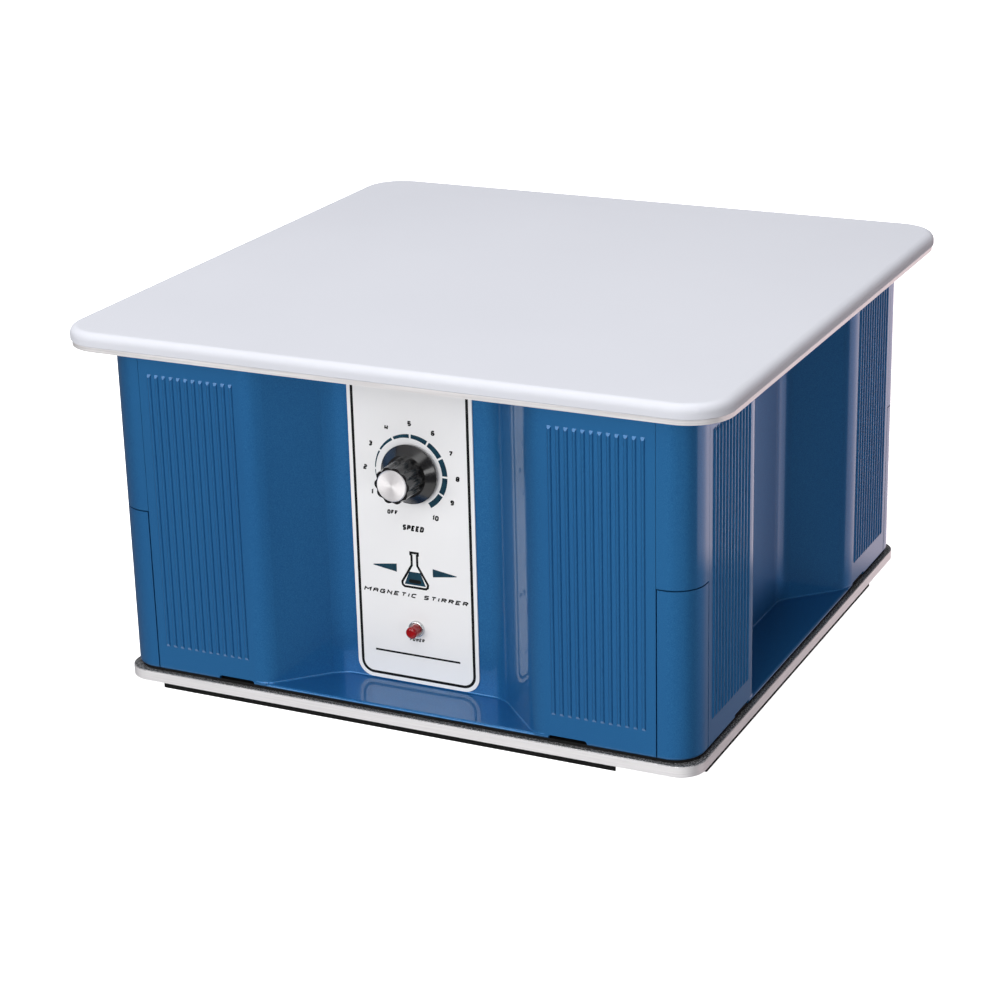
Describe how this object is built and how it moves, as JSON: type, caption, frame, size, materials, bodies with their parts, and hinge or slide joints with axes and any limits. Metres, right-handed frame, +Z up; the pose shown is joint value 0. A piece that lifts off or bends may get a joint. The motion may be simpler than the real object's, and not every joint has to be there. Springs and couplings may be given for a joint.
{
  "type": "magnetic stirrer",
  "caption": "Low square magnetic stirrer with a wide white work surface, glossy blue recessed housing, front control panel with knob and red lamp, and a metal base on rubber strips.",
  "frame": {"origin": "on the floor under the middle of the housing, at the rubber strips' lower faces", "axes": "+Z up through the work surface, -Y towards the control panel, +X to the right seen from the front"},
  "size_m": [0.368, 0.368, 0.2032],
  "materials": {
    "cover_white": "smooth satin-gloss white",
    "backing_metal": "bright ground",
    "housing_blue": "glossy pearl blue",
    "strip_rubber": "matte",
    "column_aluminium": "turned",
    "damping_black": "matte",
    "base_aluminium": "satin edge, fine speckled upper face",
    "panel_white": "satin white print ground",
    "knob_black": "semi-gloss",
    "cap_aluminium": "spun",
    "bezel_chrome": "polished",
    "lens_red": "clear red",
    "steel": "zinc plated",
    "pot_metal": "pressed",
    "motor_grey": "satin",
    "lamination": "stacked sheet",
    "copper": "enamelled wire",
    "cast_aluminium": "cast",
    "bronze": "sintered",
    "magnet_nickel": "nickel plated",
    "board_green": "solder mask",
    "nickel_brass": "nickel plated",
    "capacitor_can": "satin",
    "inlet_black": "moulded",
    "wire_sleeve": "braided sleeve"
  },
  "bodies": {
    "root": {"base_plate": "base_aluminium", "base_screws": "steel", "board_standoffs": "nickel_brass", "bush_lower": "bronze", "bush_upper": "bronze", "column_top_screws": "steel", "control_board": "board_green", "control_panel": "panel_white", "corner_cover_front_left": "housing_blue", "corner_cover_front_right": "housing_blue", "corner_cover_rear_left": "housing_blue", "corner_cover_rear_right": "housing_blue", "corner_insert_front_left": "housing_blue", "corner_insert_front_right": "housing_blue", "corner_insert_rear_left": "housing_blue", "corner_insert_rear_right": "housing_blue", "damping_sheet": "damping_black", "end_bell_lower": "cast_aluminium", "end_bell_upper": "cast_aluminium", "foot_strip_front": "strip_rubber", "foot_strip_left": "strip_rubber", "foot_strip_rear": "strip_rubber", "foot_strip_right": "strip_rubber", "heat_sink": "cast_aluminium", "inlet_blades": "bronze", "inlet_screws": "steel", "lamp_bezel": "bezel_chrome", "lamp_lens": "lens_red", "motor_can": "motor_grey", "motor_plate": "steel", "motor_plate_screws": "steel", "motor_standoffs": "steel", "motor_tie_bolts": "steel", "pot_body": "pot_metal", "pot_nut": "steel", "power_inlet": "inlet_black", "run_capacitor": "capacitor_can", "side_panel_front": "housing_blue", "side_panel_left": "housing_blue", "side_panel_rear": "housing_blue", "side_panel_right": "housing_blue", "stator_core": "lamination", "stator_windings": "copper", "support_column_front_left": "column_aluminium", "support_column_front_right": "column_aluminium", "support_column_rear_left": "column_aluminium", "support_column_rear_right": "column_aluminium", "top_backing_plate": "backing_metal", "top_cover": "cover_white", "wiring_loom": "wire_sleeve"},
    "knob": {"knob_body": "knob_black", "knob_cap": "cap_aluminium", "knob_set_screw": "steel", "pot_shaft": "steel"},
    "rotor": {"motor_shaft": "steel", "rotor_core": "lamination", "magnet_hub": "cast_aluminium", "magnet_yoke": "steel", "drive_magnets": "magnet_nickel", "magnet_screws": "steel"}
  },
  "joints": [
    {"name": "knob_turn", "type": "hinge", "parent": "root", "child": "knob", "pos_m": [-0.0026, -0.15, 0.132], "axis": [0, 1, 0], "range_deg": [0, 300]},
    {"name": "rotor_spin", "type": "hinge", "parent": "root", "child": "rotor", "pos_m": [0, 0, 0.1], "axis": [0, 0, 1], "continuous": true}
  ]
}
